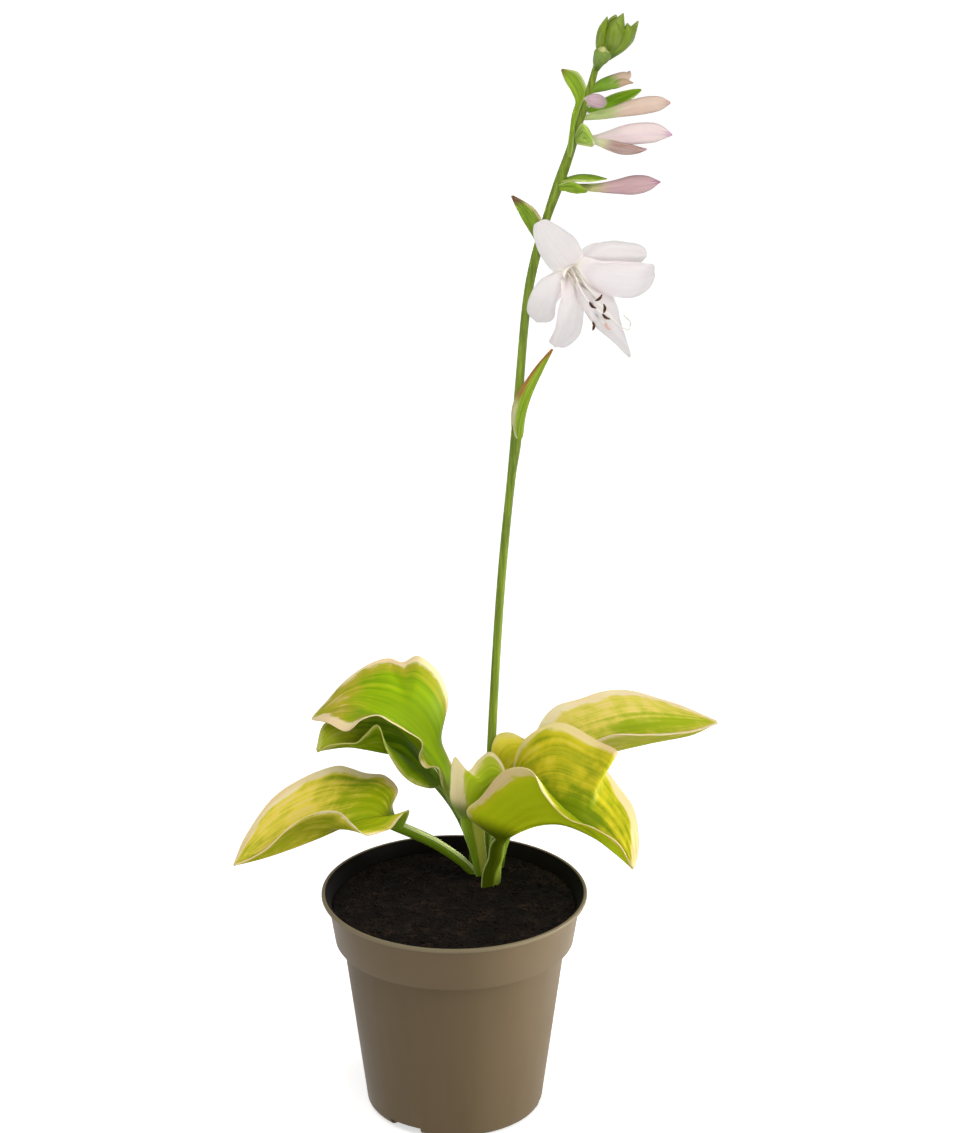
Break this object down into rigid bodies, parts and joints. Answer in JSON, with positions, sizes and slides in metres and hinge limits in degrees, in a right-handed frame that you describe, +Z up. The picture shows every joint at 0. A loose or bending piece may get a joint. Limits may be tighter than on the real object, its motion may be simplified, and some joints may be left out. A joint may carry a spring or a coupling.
{
  "type": "potted plant",
  "caption": "Variegated hosta with waved leaves and one flowering stem, in a round tapered nursery pot of soil.",
  "frame": {"origin": "centre of the pot's flat underside, on the surface that the pot stands on", "axes": "+Z straight up through the pot, -Y towards the side that the open flower faces, +X to its right"},
  "size_m": [0.2366, 0.1352, 0.5462],
  "materials": {
    "pot_plastic": "taupe brown moulded plastic, slightly satin",
    "soil": "dark damp potting soil with brown fibres",
    "leaf": "lime green blades with cream margins, satin",
    "stem": "smooth fresh green stem",
    "bract": "fresh green bracts with brown tips",
    "bud": "pale pink closed buds with green feet",
    "petal": "soft white petals",
    "anther": "dark brown anthers"
  },
  "bodies": {
    "root": {"pot": "pot_plastic", "soil": "soil", "scape": "stem", "tip_cluster": "bract", "bloom": "petal", "leaf_a": "leaf", "leaf_b": "leaf", "leaf_c": "leaf", "leaf_d": "leaf", "leaf_e": "leaf", "leaf_f": "leaf", "leaf_g": "leaf", "bract_lower": "bract", "bract_bloom": "bract", "bract_bud_1_upper": "bract", "bract_bud_1_front": "bract", "bract_bud_2": "bract", "bract_bud_3": "bract", "bract_left": "bract", "bud_1": "bud", "bud_2": "bud", "bud_3": "bud", "bud_4": "bud", "bud_5": "bud", "bud_6": "bud", "anther_1": "anther", "anther_2": "anther", "anther_3": "anther", "anther_4": "anther", "anther_5": "anther", "anther_6": "anther"}
  },
  "joints": []
}
